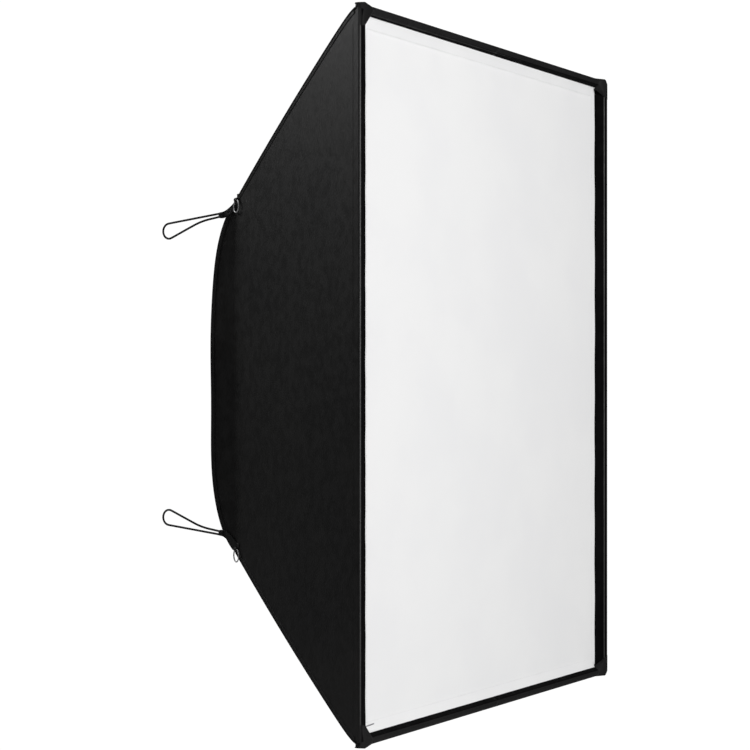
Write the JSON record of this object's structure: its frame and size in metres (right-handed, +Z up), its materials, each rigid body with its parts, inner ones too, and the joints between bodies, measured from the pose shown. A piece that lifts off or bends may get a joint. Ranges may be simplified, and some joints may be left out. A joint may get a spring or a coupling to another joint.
{
  "type": "strip softbox",
  "caption": "Collapsible rectangular softbox for a panel light: black cloth shell on a jointed rod frame, white front diffuser, open rear with skirt, rings and bungee loops.",
  "frame": {"origin": "centre of the open rear, in the plane of the corner seams' rear ends", "axes": "+Z up, -Y out of the diffuser, +X to the right as seen from the front"},
  "size_m": [0.9, 0.6285, 1.2],
  "materials": {
    "shell_cloth": "satin",
    "hem_cloth": "matte",
    "silver_lining": "satin",
    "diffuser_cloth": "matte",
    "webbing": "matte",
    "bungee": "matte",
    "ring_steel": "polished",
    "pin_steel": "satin",
    "rod_alloy": "satin",
    "strut_fibre": "satin",
    "fitting_nylon": "matte"
  },
  "bodies": {
    "left_wing": {"left_side_panel": "shell_cloth", "left_side_lining": "silver_lining", "left_strut_feet": "fitting_nylon", "top_left_strut": "strut_fibre", "bottom_left_strut": "strut_fibre", "left_ring_loops": "webbing", "left_corner_webbing": "webbing", "top_left_bungee_loop": "bungee", "bottom_left_bungee_loop": "bungee"},
    "left_front_frame": {"left_long_rod": "rod_alloy", "top_left_corner_block": "fitting_nylon", "bottom_left_corner_block": "fitting_nylon", "left_front_lip": "hem_cloth", "left_corner_pins": "pin_steel"},
    "right_wing": {"right_side_panel": "shell_cloth", "right_side_lining": "silver_lining", "right_strut_feet": "fitting_nylon", "top_right_strut": "strut_fibre", "bottom_right_strut": "strut_fibre", "right_ring_loops": "webbing", "right_corner_webbing": "webbing", "top_right_bungee_loop": "bungee", "bottom_right_bungee_loop": "bungee"},
    "right_front_frame": {"right_long_rod": "rod_alloy", "top_right_corner_block": "fitting_nylon", "bottom_right_corner_block": "fitting_nylon", "right_front_lip": "hem_cloth", "right_corner_pins": "pin_steel"},
    "top_left_bar": {"top_left_half_bar": "rod_alloy", "top_left_bar_eye": "fitting_nylon", "top_left_front_hem": "hem_cloth", "top_knuckle_fork": "fitting_nylon", "top_knuckle_pin": "pin_steel"},
    "top_right_bar": {"top_right_half_bar": "rod_alloy", "top_right_bar_eye": "fitting_nylon", "top_right_front_hem": "hem_cloth", "top_knuckle_tongue": "fitting_nylon"},
    "top_left_gusset_cloth": {"top_left_gusset": "shell_cloth", "top_left_gusset_lining": "silver_lining"},
    "top_right_gusset_cloth": {"top_right_gusset": "shell_cloth", "top_right_gusset_lining": "silver_lining"},
    "bottom_left_bar": {"bottom_left_half_bar": "rod_alloy", "bottom_left_bar_eye": "fitting_nylon", "bottom_left_front_hem": "hem_cloth", "bottom_knuckle_fork": "fitting_nylon", "bottom_knuckle_pin": "pin_steel"},
    "bottom_right_bar": {"bottom_right_half_bar": "rod_alloy", "bottom_right_bar_eye": "fitting_nylon", "bottom_right_front_hem": "hem_cloth", "bottom_knuckle_tongue": "fitting_nylon"},
    "bottom_left_gusset_cloth": {"bottom_left_gusset": "shell_cloth", "bottom_left_gusset_lining": "silver_lining"},
    "bottom_right_gusset_cloth": {"bottom_right_gusset": "shell_cloth", "bottom_right_gusset_lining": "silver_lining"},
    "diffuser_cloth": {"diffuser": "diffuser_cloth"},
    "top_left_ring_link": {"top_left_ring": "ring_steel"},
    "top_right_ring_link": {"top_right_ring": "ring_steel"},
    "bottom_left_ring_link": {"bottom_left_ring": "ring_steel"},
    "bottom_right_ring_link": {"bottom_right_ring": "ring_steel"}
  },
  "joints": [
    {"name": "fold", "type": "hinge", "parent": "left_front_frame", "child": "top_left_bar", "pos_m": [-0.4265, -0.4425, 0.5925], "axis": [0, 1, 0], "range_deg": [0, 82], "deforming": ["top_left_gusset", "top_left_gusset_lining", "top_left_front_hem", "top_right_gusset", "top_right_gusset_lining", "top_right_front_hem", "bottom_left_gusset", "bottom_left_gusset_lining", "bottom_left_front_hem", "bottom_right_gusset", "bottom_right_gusset_lining", "bottom_right_front_hem", "diffuser"]},
    {"name": "left_rod_hinge", "type": "hinge", "parent": "left_wing", "child": "left_front_frame", "pos_m": [-0.4425, -0.4425, 0], "axis": [0, 0, 1], "range_deg": [-25.01, 0]},
    {"name": "top_knuckle", "type": "hinge", "parent": "top_left_bar", "child": "top_right_bar", "pos_m": [0, -0.4425, 0.5925], "axis": [0, 1, 0], "range_deg": [-164, 0]},
    {"name": "top_right_corner", "type": "hinge", "parent": "top_right_bar", "child": "right_front_frame", "pos_m": [0.4265, -0.4425, 0.5925], "axis": [0, 1, 0], "range_deg": [0, 82]},
    {"name": "right_rod_hinge", "type": "hinge", "parent": "right_front_frame", "child": "right_wing", "pos_m": [0.4425, -0.4425, 0], "axis": [0, 0, 1], "range_deg": [-25.01, 0]},
    {"name": "bottom_left_corner", "type": "hinge", "parent": "left_front_frame", "child": "bottom_left_bar", "pos_m": [-0.4265, -0.4425, -0.5925], "axis": [0, 1, 0], "range_deg": [-82, 0]},
    {"name": "bottom_knuckle", "type": "hinge", "parent": "bottom_left_bar", "child": "bottom_right_bar", "pos_m": [0, -0.4425, -0.5925], "axis": [0, 1, 0], "range_deg": [0, 164]},
    {"name": "top_left_seam", "type": "hinge", "parent": "left_wing", "child": "top_left_gusset_cloth", "pos_m": [-0.192, 0, 0.328], "axis": [0.446, 0.7615, -0.4703], "range_deg": [0, 93.34]},
    {"name": "bottom_left_seam", "type": "hinge", "parent": "left_wing", "child": "bottom_left_gusset_cloth", "pos_m": [-0.192, 0, -0.328], "axis": [0.446, 0.7615, 0.4703], "range_deg": [-93.34, 0]},
    {"name": "top_right_seam", "type": "hinge", "parent": "right_wing", "child": "top_right_gusset_cloth", "pos_m": [0.192, 0, 0.328], "axis": [-0.446, 0.7615, -0.4703], "range_deg": [-93.34, 0]},
    {"name": "bottom_right_seam", "type": "hinge", "parent": "right_wing", "child": "bottom_right_gusset_cloth", "pos_m": [0.192, 0, -0.328], "axis": [-0.446, 0.7615, 0.4703], "range_deg": [0, 93.34]},
    {"name": "diffuser_pull_off", "type": "slide", "parent": "left_front_frame", "child": "diffuser_cloth", "axis": [0, -1, 0], "range_m": [0, 0.12]},
    {"name": "top_left_ring_swing", "type": "hinge", "parent": "left_wing", "child": "top_left_ring_link", "pos_m": [-0.20203, -0.00803, 0.328], "axis": [0.5054, 0.8629, 0], "range_deg": [-6, 150]},
    {"name": "top_right_ring_swing", "type": "hinge", "parent": "right_wing", "child": "top_right_ring_link", "pos_m": [0.20203, -0.00803, 0.328], "axis": [0.5054, -0.8629, 0], "range_deg": [-6, 150]},
    {"name": "bottom_left_ring_swing", "type": "hinge", "parent": "left_wing", "child": "bottom_left_ring_link", "pos_m": [-0.20203, -0.00803, -0.32], "axis": [0.5054, 0.8629, 0], "range_deg": [-6, 150]},
    {"name": "bottom_right_ring_swing", "type": "hinge", "parent": "right_wing", "child": "bottom_right_ring_link", "pos_m": [0.20203, -0.00803, -0.32], "axis": [0.5054, -0.8629, 0], "range_deg": [-6, 150]}
  ],
  "couplings": [
    {"joint": "left_rod_hinge", "follows": "fold", "ratio": -0.30499},
    {"joint": "top_knuckle", "follows": "fold", "ratio": -2},
    {"joint": "top_right_corner", "follows": "fold", "ratio": 1},
    {"joint": "right_rod_hinge", "follows": "fold", "ratio": -0.30499},
    {"joint": "bottom_left_corner", "follows": "fold", "ratio": -1},
    {"joint": "bottom_knuckle", "follows": "fold", "ratio": 2},
    {"joint": "top_left_seam", "follows": "fold", "ratio": 1.1383},
    {"joint": "bottom_left_seam", "follows": "fold", "ratio": -1.1383},
    {"joint": "top_right_seam", "follows": "fold", "ratio": -1.1383},
    {"joint": "bottom_right_seam", "follows": "fold", "ratio": 1.1383}
  ]
}
